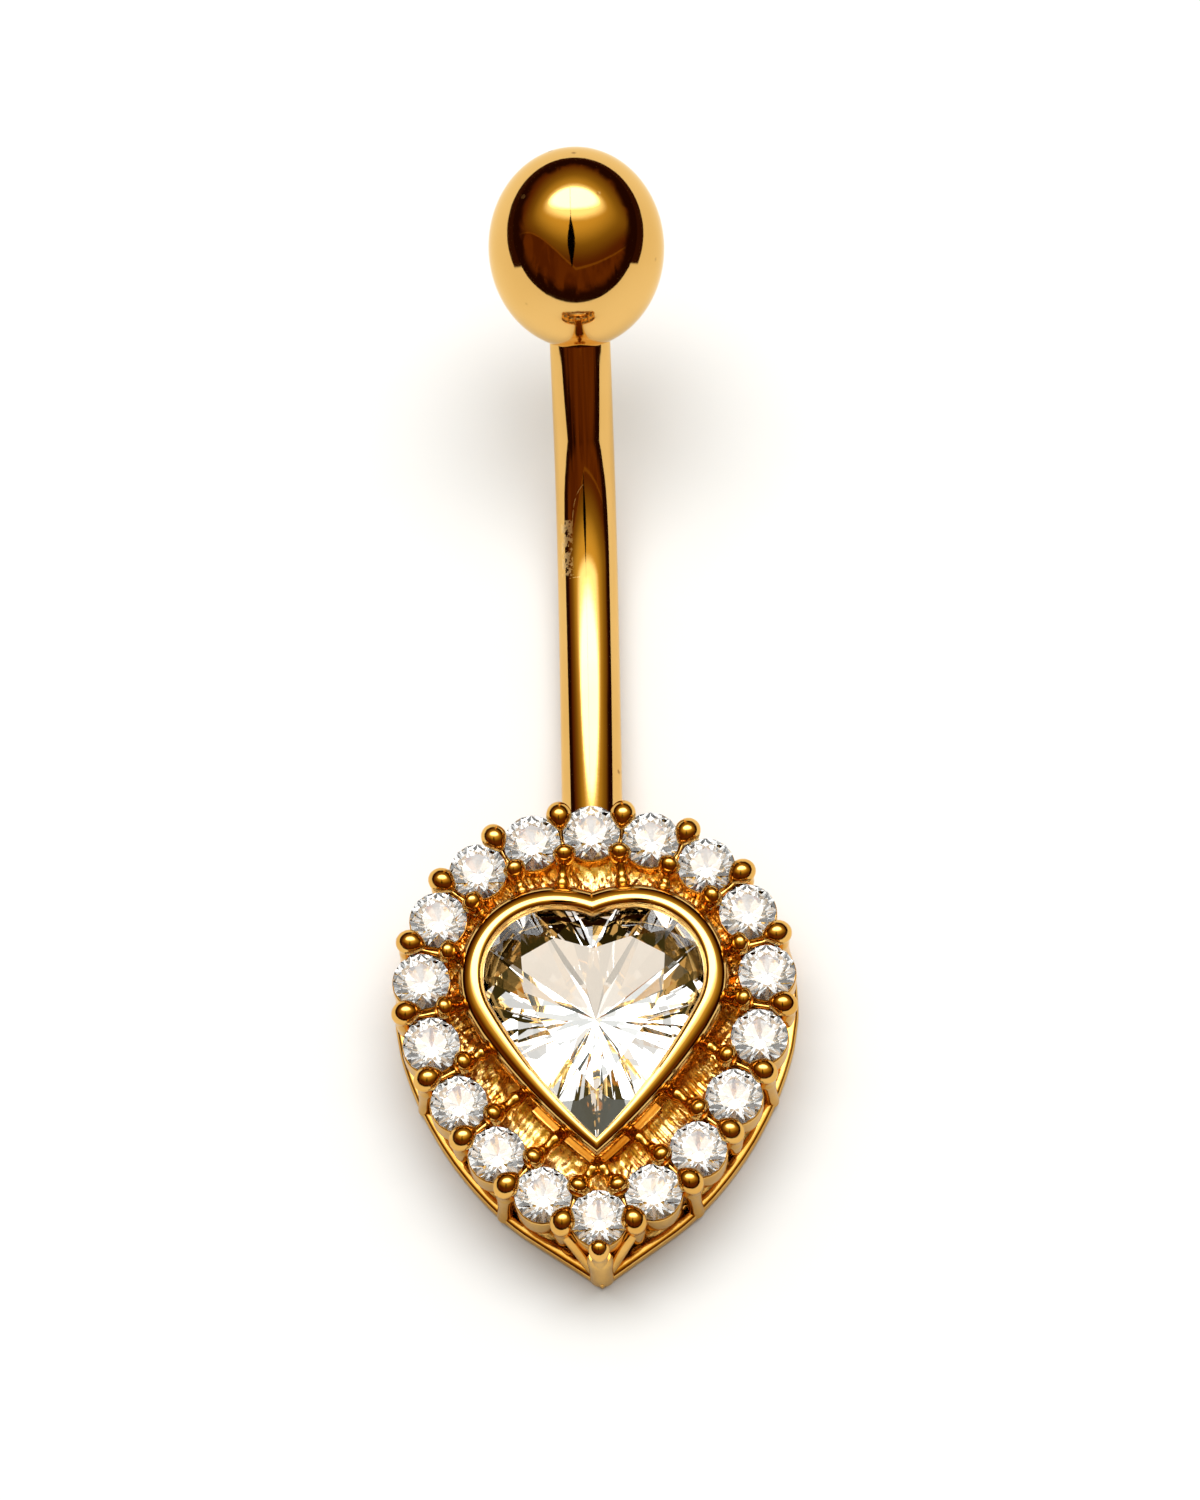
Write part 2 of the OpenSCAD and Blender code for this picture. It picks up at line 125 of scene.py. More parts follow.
def goldMaterial(name, look):
    made = bpy.data.materials.new(name)
    made.use_nodes = True
    tree = made.node_tree
    shader = tree.nodes["Principled BSDF"]
    marks = addNode(tree, "ShaderNodeGroup", node_tree=finish)
    for socket, value in (("Tone", (*look["tone"], 1)), ("Deep Tone", (*look["deep"], 1)),
                          ("Drift Scale", look["drift"]), ("Grain Scale", look["grain"]),
                          ("Pit Scale", look["pits"]), ("Pit Share", look["share"]),
                          ("Smoothest", look["rough"][0]), ("Roughest", look["rough"][1])):
        marks.inputs[socket].default_value = value
    shader.inputs["Metallic"].default_value = 1.0
    shader.inputs["Specular Tint"].default_value = (*look["rim"], 1)
    tree.links.new(marks.outputs["Color"], shader.inputs["Base Color"])
    tree.links.new(marks.outputs["Roughness"], shader.inputs["Roughness"])
    bump = addNode(tree, "ShaderNodeBump", {"Height": marks.outputs["Height"], "Strength": 1.0,
                                            "Distance": look["depth"]})
    tree.links.new(bump.outputs["Normal"], shader.inputs["Normal"])
    return made


polishedGold = goldMaterial("polishedGold", golds["polishedGold"])
wireGold = goldMaterial("wireGold", golds["wireGold"])
castGold = goldMaterial("castGold", golds["castGold"])

# The bar's own marks, in millimetres from the top stone's centre: flakes at its left, and two scratches
low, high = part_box("halo_stone_00")
topStoneY = (low.y + high.y) / 2 / mm
scuff = {"flakeX": (-0.66, -0.36), "flakeY": (7.55, 9.05), "flakeScale": 6500, "scratchY": (8.85, 9.85),
         "scratchX": -0.37, "lean": 0.09, "bow": 0.25, "crossY": 7.5, "crossX": (-0.52, -0.2), "half": 0.011,
         "soft": 0.05, "tone": (0.95, 0.66, 0.30), "rough": 0.42}
scuffedGold = goldMaterial("scuffedGold", golds["polishedGold"])
tree = scuffedGold.node_tree
shader = tree.nodes["Principled BSDF"]
place = addNode(tree, "ShaderNodeTexCoord").outputs["Object"]
part = addNode(tree, "ShaderNodeSeparateXYZ", {0: place}).outputs
barX = calc(tree, "MULTIPLY", part["X"], 1000.0)
barY = calc(tree, "SUBTRACT", calc(tree, "MULTIPLY", part["Y"], 1000.0), topStoneY)
fray = addNode(tree, "ShaderNodeTexNoise", {"Vector": place, "Scale": scuff["flakeScale"], "Detail": 3.0,
                                            "Roughness": 0.65}).outputs["Fac"]


def within(tree, value, low, high, soft):
    return calc(tree, "MULTIPLY", remap(tree, value, low - soft, low + soft),
                remap(tree, value, high + soft, high - soft))


flakes = calc(tree, "MULTIPLY", within(tree, barX, *scuff["flakeX"], scuff["soft"]),
              within(tree, barY, *scuff["flakeY"], scuff["soft"]))
flakes = calc(tree, "MULTIPLY", flakes, remap(tree, fray, 0.47, 0.5))
share = remap(tree, barY, scuff["scratchY"][0], scuff["scratchY"][1], smooth=False)
line = calc(tree, "ADD", calc(tree, "MULTIPLY", share, scuff["lean"]),
            calc(tree, "MULTIPLY", calc(tree, "POWER", share, 4.0), scuff["bow"]))
line = calc(tree, "SUBTRACT", calc(tree, "SUBTRACT", barX, scuff["scratchX"]), line)
scratch = calc(tree, "MULTIPLY", remap(tree, calc(tree, "ABSOLUTE", line), scuff["half"] * 1.4, scuff["half"] * 0.6),
               within(tree, barY, *scuff["scratchY"], 0.03))
cross = calc(tree, "MULTIPLY", within(tree, barX, *scuff["crossX"], scuff["soft"]), remap(tree, calc(
    tree, "ABSOLUTE", calc(tree, "SUBTRACT", barY, scuff["crossY"])), scuff["half"] * 1.4, scuff["half"] * 0.6))
upside = remap(tree, addNode(tree, "ShaderNodeSeparateXYZ", {
    0: addNode(tree, "ShaderNodeNewGeometry").outputs["Normal"]}).outputs["Z"], 0.1, 0.2)
marked = calc(tree, "MULTIPLY", upside, calc(tree, "MAXIMUM", flakes, calc(tree, "MULTIPLY", calc(
    tree, "MAXIMUM", scratch, cross), remap(tree, fray, 0.4, 0.5, 0.35, 1.0))))
marks = next(item for item in tree.nodes if item.type == "GROUP")
tree.links.new(blendColor(tree, marked, marks.outputs["Color"], scuff["tone"]), shader.inputs["Base Color"])
tree.links.new(calc(tree, "MAXIMUM", marks.outputs["Roughness"], calc(tree, "MULTIPLY", marked, scuff["rough"])),
               shader.inputs["Roughness"])

stoneLooks = {
    "clearStone": {"tint": (1.0, 1.0, 1.0), "veil": (0.965, 0.975, 0.985), "cloudScale": 900, "wipeScale": 1600,
                   "ior": 1.76},
    "clearSmallStone": {"tint": (0.44, 0.44, 0.435), "veil": (0.29, 0.29, 0.285), "cloudScale": 1900,
                        "wipeScale": 2600, "ior": 1.8},
}


def stoneMaterial(name, look):
    made = bpy.data.materials.new(name)
    made.use_nodes = True
    tree = made.node_tree
    shader = tree.nodes["Principled BSDF"]
    place = addNode(tree, "ShaderNodeTexCoord").outputs["Object"]
    cloud = addNode(tree, "ShaderNodeTexNoise", {"Vector": place, "Scale": look["cloudScale"], "Detail": 2.0})
    wipe = addNode(tree, "ShaderNodeTexNoise", {"Vector": place, "Scale": look["wipeScale"], "Detail": 3.0})
    tree.links.new(blendColor(tree, remap(tree, cloud.outputs["Fac"], 0.35, 0.7), look["tint"], look["veil"]),
                   shader.inputs["Base Color"])
    tree.links.new(remap(tree, wipe.outputs["Fac"], 0.55, 0.8, 0.0, 0.02), shader.inputs["Roughness"])
    shader.inputs["IOR"].default_value = look["ior"]
    shader.inputs["Transmission Weight"].default_value = 1.0
    return made


clearStone = stoneMaterial("clearStone", stoneLooks["clearStone"])
clearSmallStone = stoneMaterial("clearSmallStone", stoneLooks["clearSmallStone"])

whiteTable = bpy.data.materials.new("whiteTable")
whiteTable.use_nodes = True
tree = whiteTable.node_tree
shader = tree.nodes["Principled BSDF"]
place = addNode(tree, "ShaderNodeTexCoord").outputs["Object"]
paper = addNode(tree, "ShaderNodeTexNoise", {"Vector": place, "Scale": 700.0, "Detail": 4.0})
tree.links.new(blendColor(tree, paper.outputs["Fac"], (0.915, 0.915, 0.912), (0.93, 0.93, 0.93)),
               shader.inputs["Base Color"])
shader.inputs["Roughness"].default_value = 0.75
shader.inputs["Specular IOR Level"].default_value = 0.2
# Painted reflection: past an oval a few centimetres out, glossy rays see the table as a dark brown glow instead of
# white, which only the gold's reflections show
paintedTableLight = {"halfWide": 0.042, "widening": 2.5, "topEdge": 0.105, "edge": (0.9, 1.15), "beyond": (0.035, 0.009, 0.003),
        "paintedGlowThroughStone": (0.86, 0.74, 0.62)}
part = addNode(tree, "ShaderNodeSeparateXYZ", {0: place}).outputs
pastTip = calc(tree, "MAXIMUM", calc(tree, "SUBTRACT", 0.0, part["Y"]), 0.0)
halfWide = calc(tree, "ADD", calc(tree, "MULTIPLY", pastTip, paintedTableLight["widening"]), paintedTableLight["halfWide"])
sideShare = calc(tree, "DIVIDE", part["X"], halfWide)
topShare = calc(tree, "DIVIDE", calc(tree, "MAXIMUM", part["Y"], 0.0), paintedTableLight["topEdge"])
outside = remap(tree, calc(tree, "ADD", calc(tree, "MULTIPLY", sideShare, sideShare),
                           calc(tree, "MULTIPLY", topShare, topShare)), *paintedTableLight["edge"])
path = addNode(tree, "ShaderNodeLightPath").outputs
mirrored = calc(tree, "MULTIPLY", outside, path["Is Glossy Ray"])
# The painted dark reflection: a dark brown glow shown to glossy rays only
glow = addNode(tree, "ShaderNodeEmission", {"Color": (*paintedTableLight["beyond"], 1)})
either = addNode(tree, "ShaderNodeMixShader", {0: mirrored, 1: shader.outputs[0], 2: glow.outputs[0]})
# Painted light: seen through a stone, the table glows pale beige, though it is no lamp
paintedPaleGlow = addNode(tree, "ShaderNodeEmission", {"Color": (*paintedTableLight["paintedGlowThroughStone"], 1)})
pastStone = calc(tree, "GREATER_THAN", path["Transmission Depth"], 1.5)
either = addNode(tree, "ShaderNodeMixShader", {0: pastStone, 1: either.outputs[0], 2: paintedPaleGlow.outputs[0]})
output = next(item for item in tree.nodes if item.type == "OUTPUT_MATERIAL")
tree.links.new(either.outputs[0], output.inputs["Surface"])
print("materials made")

# The camera, fitted to the photograph: degrees and millimetres
view = {"distance": 220.0, "elevation": 72.0, "azimuth": 4.1412, "roll": -5.4834, "lens": 245.768,
        "target": (0.2379, topStoneY + 2.812, 1.0)}
turnAz, turnEl, turnRoll = (math.radians(view[k]) for k in ("azimuth", "elevation", "roll"))
backward = Vector((math.sin(turnAz) * math.cos(turnEl), -math.cos(turnAz) * math.cos(turnEl), math.sin(turnEl)))
level = Vector((math.cos(turnAz), math.sin(turnAz), 0))
upward = backward.cross(level)
rightward = level * math.cos(turnRoll) + upward * math.sin(turnRoll)
topward = upward * math.cos(turnRoll) - level * math.sin(turnRoll)
camera = bpy.data.objects.new("camera", bpy.data.cameras.new("camera"))
bpy.context.scene.collection.objects.link(camera)
camera.data.sensor_fit = "HORIZONTAL"
camera.data.sensor_width = 36
camera.data.lens = view["lens"]
camera.data.clip_start = 0.01
camera.data.clip_end = 20
spot = (Vector(view["target"]) + backward * view["distance"]) * mm
turned = Matrix((rightward, topward, backward)).transposed().to_4x4()
camera.matrix_world = Matrix.Translation(spot) @ turned
bpy.context.scene.camera = camera

table = {"half": 4.0}
mesh = bpy.data.meshes.new("tableTop")
side = table["half"]
mesh.from_pydata([(-side, -side, 0), (side, -side, 0), (side, side, 0), (-side, side, 0)], [], [(0, 1, 2, 3)])
tableTop = bpy.data.objects.new("tableTop", mesh)
bpy.context.scene.collection.objects.link(tableTop)
mesh.materials.append(whiteTable)

# The tent round the table, by direction: the angle over the top's side, and the angle sideways.
# It is dark at the horizon, glows olive round the softbox, and folds towards the tip's side.
tent = {"dark": (0.018, 0.004, 0.0015), "brown": (0.115, 0.03, 0.004),
        "cloth": (0.145, 0.04, 0.004), "clothDeep": (0.10, 0.024, 0.0025), "hem": (0.24, 0.10, 0.012),
        "slit": (0.0008, 0.0003, 0.0002), "roomLow": (0.12, 0.118, 0.112), "roomHigh": (0.98, 0.975, 0.96),
        "backdrop": (0.86, 0.855, 0.84), "horizon": (24.0, 12.0), "horizonWave": 6.0}
# The fold of the cloth below the softbox, in degrees: its place, its slopes to either side, its hem
fold = {"at": -53.0, "left": -0.7, "right": 0.12, "hem": 2.2, "soft": 0.8}
softbox = {"lean": 23.0, "deep": 14.0, "wide": 31.0, "radiance": 6.0, "soft": 0.17, "hairAt": -5.0, "hair": 0.35}
# Its glow on the tent: colour, an oval's centre towards the top and sideways, its depth and width,
# and how far out the glow is full
glows = {"far": ((0.38, 0.25, 0.035), (14.0, 6.0, 66.0, 86.0), 0.45),
         "mid": ((0.85, 0.60, 0.14), (13.0, 1.0, 46.0, 62.0), 0.45),
         "near": ((1.9, 1.95, 1.7), (19.0, 1.0, 26.0, 45.0), 0.62)}
# A dark slit runs down the tent from the softbox, narrow at its top and bottom
slit = {"top": 1.0, "middle": -22.0, "narrowing": -30.0, "bottom": -52.0, "above": 8.0, "topHalf": 0.3,
        "half": 5.0, "bottomHalf": 0.5}
# What light reaches the eye through the stones: white from all sides, grey in places, beige from overhead
sparkle = {"white": (2.85, 2.85, 2.8), "grey": (0.78, 0.78, 0.76), "beige": (2.0, 1.6, 1.2), "scale": 5.5,
           "low": 0.43, "high": 0.55, "overhead": 20.0, "soft": 6.0, "lamp": (4.5, 4.5, 4.4)}
world = bpy.data.worlds.new("softTent")
bpy.context.scene.world = world
world.use_nodes = True
tree = world.node_tree
tree.nodes.clear()
toward = addNode(tree, "ShaderNodeTexCoord").outputs["Generated"]
way = addNode(tree, "ShaderNodeSeparateXYZ", {0: toward}).outputs
degree = 180 / math.pi
towardTop = calc(tree, "MULTIPLY", calc(tree, "ARCTAN2", way["Y"], way["Z"]), degree)
sideways = calc(tree, "MULTIPLY", calc(tree, "ARCSINE", way["X"]), degree)
height = calc(tree, "MULTIPLY", calc(tree, "ARCSINE", way["Z"]), degree)


def ovalShare(centreTop, centreSide, deep, wide):
    a = calc(tree, "DIVIDE", calc(tree, "SUBTRACT", towardTop, centreTop), deep)
    b = calc(tree, "DIVIDE", calc(tree, "SUBTRACT", sideways, centreSide), wide)
    return calc(tree, "SQRT", calc(tree, "ADD", calc(tree, "MULTIPLY", a, a), calc(tree, "MULTIPLY", b, b)))


drape = addNode(tree, "ShaderNodeMapping", {"Vector": toward, "Scale": (2.2, 0.8, 1.0)}).outputs[0]
weave = addNode(tree, "ShaderNodeTexNoise", {"Vector": drape, "Scale": 2.4, "Detail": 3.0,
                                             "Distortion": 0.7}).outputs["Fac"]
shade = remap(tree, weave, 0.36, 0.62)


def glowing(color, glow):
    tone, oval, full = glow
    return blendColor(tree, remap(tree, ovalShare(*oval), 1.0, full), color, tone)


color = glowing(tent["brown"], glows["far"])
cloth = blendColor(tree, shade, tent["clothDeep"], tent["cloth"])
edge = calc(tree, "ADD", fold["at"], calc(tree, "MAXIMUM", calc(tree, "MULTIPLY", sideways, fold["left"]),
                                          calc(tree, "MULTIPLY", sideways, fold["right"])))
below = calc(tree, "SUBTRACT", edge, towardTop)
color = blendColor(tree, remap(tree, below, -1.0, 1.0), color, cloth)
color = blendColor(tree, within(tree, below, 0.0, fold["hem"], fold["soft"]), color, tent["hem"])
waved = calc(tree, "ADD", height, calc(tree, "MULTIPLY", shade, tent["horizonWave"]))
color = blendColor(tree, remap(tree, waved, *tent["horizon"]), color, tent["dark"])
color = glowing(color, glows["mid"])
color = glowing(color, glows["near"])
aim = ovalShare(softbox["lean"], 0.0, softbox["deep"], softbox["wide"])
lit = remap(tree, aim, 1 + softbox["soft"], 1 - softbox["soft"])
slitAt = calc(tree, "ABSOLUTE", calc(tree, "SUBTRACT", sideways, softbox["hairAt"]))
hair = calc(tree, "GREATER_THAN", slitAt, softbox["hair"])
lamp = calc(tree, "MULTIPLY", lit, hair)
color = blendColor(tree, lamp, color, (softbox["radiance"],) * 3)
upperHalf = remap(tree, towardTop, slit["top"], slit["middle"], slit["topHalf"], slit["half"], smooth=False)
lowerHalf = remap(tree, towardTop, slit["bottom"], slit["narrowing"], slit["bottomHalf"], slit["half"], smooth=False)
inSlit = calc(tree, "LESS_THAN", slitAt, calc(tree, "MINIMUM", upperHalf, lowerHalf))
inSlit = calc(tree, "MULTIPLY", inSlit, calc(tree, "MULTIPLY", calc(
    tree, "LESS_THAN", towardTop, slit["above"]), calc(tree, "GREATER_THAN", towardTop, slit["bottom"])))
color = blendColor(tree, inSlit, color, tent["slit"])
# What a ray sees that has passed through a stone
clear = addNode(tree, "ShaderNodeTexNoise", {"Vector": toward, "Scale": sparkle["scale"],
                                             "Detail": 1.0}).outputs["Fac"]
inStone = blendColor(tree, remap(tree, clear, sparkle["low"], sparkle["high"]), sparkle["grey"], sparkle["white"])
capEdge = 90 - sparkle["overhead"]
inStone = blendColor(tree, remap(tree, height, capEdge - sparkle["soft"], capEdge + sparkle["soft"]), inStone,
                     sparkle["beige"])
inStone = blendColor(tree, lit, inStone, sparkle["lamp"])
path = addNode(tree, "ShaderNodeLightPath").outputs
pastStone = calc(tree, "GREATER_THAN", path["Transmission Depth"], 0.5)
color = blendColor(tree, pastStone, color, inStone)
room = remap(tree, towardTop, -75, 80, smooth=False)  # the room is darker towards the tip
aside = blendColor(tree, room, tent["roomLow"], tent["roomHigh"])
aside = blendColor(tree, lamp, aside, (softbox["radiance"],) * 3)
color = blendColor(tree, path["Is Diffuse Ray"], color, aside)
color = blendColor(tree, path["Is Camera Ray"], color, tent["backdrop"])
background = addNode(tree, "ShaderNodeBackground", {"Color": color}).outputs[0]
addNode(tree, "ShaderNodeOutputWorld", {"Surface": background})
settings = bpy.context.scene.view_settings
settings.view_transform = "Standard"
print("camera, table and light made")

# Outlines, as in the CAD: half curves of arcs from the top to the tip, right of the middle.
# An arc is a radius and the degrees that it turns.
plan = {"haloWidth": 9.18, "haloLength": 10.56, "haloArcs": ((1, 12), (0.685, 93), (1.446, 31)), "haloLast": 29,
        "stoneCount": 18, "spread": 0.14, "stoneD": 1.52,
        "heartSide": 1.69, "heartDrop": 2.26, "heartTip": 2.02, "heartZ": 2.9,
        "heartArcs": ((1, 25), (0.75, 118)), "heartLast": 16, "heartStart": -25}


def sine(a):
    return math.sin(math.radians(a))


def cosine(a):
    return math.cos(math.radians(a))


def halfOutline(arcs, start, lastTurn, width, length, fine=8):
    x, y, heading = 0.0, 0.0, start
    points = []
    rows = list(arcs) + [None]
    for row in rows:
        if row is None:
            radius = x / (sine(heading) - sine(heading + lastTurn))
            turn = lastTurn
        else:
            radius, turn = row
        for k in range(fine):
            a = heading + turn * k / fine
            points.append((x + radius * (sine(a) - sine(heading)), y + radius * (cosine(a) - cosine(heading))))
        x += radius * (sine(heading + turn) - sine(heading))
        y += radius * (cosine(heading + turn) - cosine(heading))
        heading += turn
    points.append((x, y))
    top, low = max(p[1] for p in points), min(p[1] for p in points)
    widest = max(p[0] for p in points)
    return [(p[0] * width / 2 / widest, (p[1] - top) * length / (top - low)) for p in points]


def running(points):
    out = [0.0]
    for a, b in zip(points, points[1:]):
        out.append(out[-1] + math.dist(a, b))
    return out


def placeAt(points, at):
    sums = running(points)
    at = min(max(at, 0.0), sums[-1])
    for i in range(len(points) - 1):
        if at <= sums[i + 1]:
            t = (at - sums[i]) / max(sums[i + 1] - sums[i], 1e-12)
            return tuple(a + (b - a) * t for a, b in zip(points[i], points[i + 1]))
    return points[-1]


def evenly(points, count):
    total = running(points)[-1]
    return [placeAt(points, total * i / count) for i in range(count + 1)]


def onMiddle(a, b):
    return (0.0, a[1] - a[0] * (b[1] - a[1]) / (b[0] - a[0]))


def setOut(points, distance, count, tip=1.0, tipFrom=0.7):
    last = len(points) - 1
    raw = []
    for i, p in enumerate(points):
        a, b = points[max(i - 1, 0)], points[min(i + 1, last)]
        d = math.dist(a, b)
        normal = (-(b[1] - a[1]) / d, (b[0] - a[0]) / d)
        late = max(0.0, i / last - tipFrom) / (1 - tipFrom)
        far = distance * (1 - (1 - tip) * late)
        raw.append((p[0] + far * normal[0], p[1] + far * normal[1]))
    kept = [p for p in raw if p[0] > 0.01]
    return evenly([onMiddle(kept[0], kept[1])] + kept + [onMiddle(kept[-1], kept[-2])], count)


def whole(half):
    return half + [(-x, y) for x, y in half[-2:0:-1]]


halo = halfOutline(plan["haloArcs"], 0, plan["haloLast"], plan["haloWidth"], plan["haloLength"])
haloHalf = running(halo)[-1]
stoneStep = haloHalf * 2 / plan["stoneCount"]
heartShape = [(x, y - plan["heartDrop"]) for x, y in halfOutline(
    plan["heartArcs"], plan["heartStart"], plan["heartLast"], plan["haloWidth"] - 2 * plan["heartSide"],
    plan["haloLength"] - plan["heartDrop"] - plan["heartTip"], fine=40)]


def onHalo(s):
    inside = -s if s < 0 else (2 * haloHalf - s if s > haloHalf else s)
    x, y = placeAt(halo, inside)
    return (x, y) if 0 <= s <= haloHalf else (-x, y)


def alongHalo(i):
    return i * stoneStep - plan["spread"] * sine(360 * i * 2 / plan["stoneCount"])


def outwardAt(i):
    s = alongHalo(i) if i <= plan["stoneCount"] / 2 else 2 * haloHalf - alongHalo(plan["stoneCount"] - i)
    a, b = onHalo(s - 0.01), onHalo(s + 0.01)
    d = math.dist(a, b)
    return onHalo(s), (-(b[1] - a[1]) / d, (b[0] - a[0]) / d)


def beside(i, off):
    (x, y), (nx, ny) = outwardAt(i)
    return (x + nx * off, y + ny * off)


# Mesh helpers take millimetres from the top stone's centre and make metres in the frame


def toFrame(p):
    return (p[0] * mm, (p[1] + topStoneY) * mm, p[2] * mm)


def makePiece(name, points, faces, material, sharp=40):
    mesh = bpy.data.meshes.new(name)
    mesh.from_pydata([toFrame(p) for p in points], [], faces)
    return finishPiece(name, mesh, material, sharp)


def finishPiece(name, mesh, material, sharp=40):
    work = bmesh.new()
    work.from_mesh(mesh)
    bmesh.ops.remove_doubles(work, verts=work.verts, dist=2e-7)
    bmesh.ops.dissolve_degenerate(work, edges=work.edges, dist=1e-8)
    bmesh.ops.recalc_face_normals(work, faces=work.faces)
    work.to_mesh(mesh)
    work.free()
    mesh.polygons.foreach_set("use_smooth", [True] * len(mesh.polygons))
    mesh.set_sharp_from_angle(angle=math.radians(sharp))
    mesh.materials.clear()
    mesh.materials.append(material)
    piece = bpy.data.objects.new(name, mesh)
    bpy.context.scene.collection.objects.link(piece)
    return piece


def loftFaces(ringCount, ringSize, closedRound=False):
    faces = []
    for j in range(ringCount if closedRound else ringCount - 1):
        k = (j + 1) % ringCount
        for i in range(ringSize):
            n = (i + 1) % ringSize
            faces.append((j * ringSize + i, j * ringSize + n, k * ringSize + n, k * ringSize + i))
    return faces


def ringPiece(name, section, ringAt, material, sharp=40):
    rings = [[(x, y, z) for x, y in ringAt(off)] for off, z in section]
    points = [p for ring in rings for p in ring]
    return makePiece(name, points, loftFaces(len(rings), len(rings[0]), True), material, sharp)


def turnedPiece(name, profile, sides, material, place, tilt, sharp=40):
    points = []
    for r, h in profile:
        for k in range(sides):
            a = 360 * k / sides
            x, v = r * cosine(a), r * sine(a)
            # The lathe's axis leans from +Z towards +Y by the tilt
            y, z = h * sine(tilt) + v * cosine(tilt), h * cosine(tilt) - v * sine(tilt)
            points.append((place[0] + x, place[1] + y, place[2] + z))
    return makePiece(name, points, loftFaces(len(profile), sides), material, sharp)


def carriedBy(piece, body, node):
    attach(piece, body)
    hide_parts(node)


# The bar, from the setting up its slight curve and tight bend to the stud
bar = {"d": 1.63, "from": 0.45, "touch": 5.1, "lowR": 24.0, "bendStart": 6.0, "bendR": 6.2, "bend": 45.0,
       "top": 2.95, "studD": 1.2, "studL": 3.0, "edge": 0.07, "threadPitch": 0.25, "threadDepth": 0.09, "sides": 72,
       "rootEdge": 0.05, "lap": 0.005, "studTaper": 0.12, "turnSteps": 8}
barR = bar["d"] / 2


def onCircle(centre, r, a):
    return (centre[0] + r * sine(a), centre[1] - r * cosine(a))


lowCentre = (bar["touch"], barR + bar["lowR"])
bendCentre = onCircle(lowCentre, bar["lowR"] - bar["bendR"], bar["bendStart"])
bendEnd = onCircle(bendCentre, bar["bendR"], bar["bend"])
upBar = (cosine(bar["bend"]), sine(bar["bend"]))
shoulder = (bendEnd[0] + bar["top"] * upBar[0], bendEnd[1] + bar["top"] * upBar[1])
arcLength = math.radians(bar["bend"] - bar["bendStart"]) * bar["bendR"]
lowLength = (math.radians(bar["bendStart"]) + math.asin((bar["touch"] - bar["from"]) / bar["lowR"])) * bar["lowR"]


def barPlace(s):
    # Centre and direction at length s from the tight bend's start, negative in the slight curve
    if s <= 0:
        a = bar["bendStart"] + math.degrees(s / bar["lowR"])
        return onCircle(lowCentre, bar["lowR"], a), a
    if s < arcLength:
        a = bar["bendStart"] + math.degrees(s / bar["bendR"])
        return onCircle(bendCentre, bar["bendR"], a), a
    return (bendEnd[0] + (s - arcLength) * upBar[0], bendEnd[1] + (s - arcLength) * upBar[1]), bar["bend"]


rootEdge = bar["rootEdge"]
stations = [(-lowLength, 0.0), (-lowLength, barR - rootEdge), (rootEdge - lowLength, barR)]
stations += [(-lowLength * (1 - k / 40), barR) for k in range(1, 40)]
stations += [(arcLength * k / 44, barR) for k in range(45)]
barEnd = arcLength + bar["top"]
stations += [(barEnd - bar["edge"], barR)]
stations += [(barEnd - bar["edge"] * (1 - sine(a)), barR - bar["edge"] * (1 - cosine(a))) for a in (30, 60, 90)]
points = []


def roundBar(s, radiusAt):
    (y, z), a = barPlace(s)
    for k in range(bar["sides"]):
        r, t = radiusAt(k), 360 * k / bar["sides"]
        points.append((r * cosine(t), y - r * sine(t) * sine(a), z + r * sine(t) * cosine(a)))


for s, r in stations:
    roundBar(s, lambda k: r)
# The stud's thread is cut into its own diameter, and fades at both ends
studR = bar["studD"] / 2
steps = int(bar["studL"] / bar["threadPitch"] * bar["turnSteps"])
for j in range(steps + 1):
    s = barEnd - bar["lap"] + (bar["studL"] + bar["lap"]) * j / steps
    depth = bar["threadDepth"] * min(1.0, j / 6, (steps - j) / 10)
    taper = max(0.0, bar["studTaper"] * (1 - (steps - j) / 6))
    roundBar(s, lambda k: studR - depth * abs(2 * ((s / bar["threadPitch"] - k / bar["sides"]) % 1) - 1) - taper)
(y, z), a = barPlace(barEnd + bar["studL"])
points += [(0.0, y, z)] * bar["sides"]
rings = len(points) // bar["sides"]
curvedBar = makePiece("curvedBar", points, loftFaces(rings, bar["sides"]), scuffedGold, 50)
carriedBy(curvedBar, "jewelled_bar", "curved_bar_setting")
print("bar made")

# The ball, hollow where the bar and its stud go in
ball = {"d": 4.7, "length": 5.5, "sink": 0.35, "play": 0.04, "spare": 0.25, "mouth": 0.05, "sides": 128}
half, radius = ball["length"] / 2, ball["d"] / 2
ballAt = (0.0, shoulder[0] + (half - ball["sink"]) * upBar[0], shoulder[1] + (half - ball["sink"]) * upBar[1])
bore, studBore = barR + ball["play"], studR + ball["play"]
mouthZ = -half * math.sqrt(1 - ((bore + ball["mouth"]) / radius) ** 2)
endAngle = math.degrees(math.acos(-mouthZ / half))
profile = [(0.0, half)]
steps = 72
fromTop = [(180 - endAngle) * k / steps for k in range(1, steps + 1)]
profile += [(radius * sine(a), half * cosine(a)) for a in fromTop]
profile += [(bore + 0.015, mouthZ + 0.012), (bore, mouthZ + 0.04)]
floorZ = -half + ball["sink"] + ball["play"]
profile += [(bore, floorZ), (studBore + 0.03, floorZ), (studBore, floorZ + 0.03)]
topZ = -half + ball["sink"] + bar["studL"] + ball["spare"]
profile += [(studBore, topZ - 0.02), (0.0, topZ)]
screwBall = turnedPiece("screwBall", profile, ball["sides"], polishedGold, ballAt, 90 - bar["bend"], 50)
carriedBy(screwBall, "ball", "screw_ball")
print("ball made")

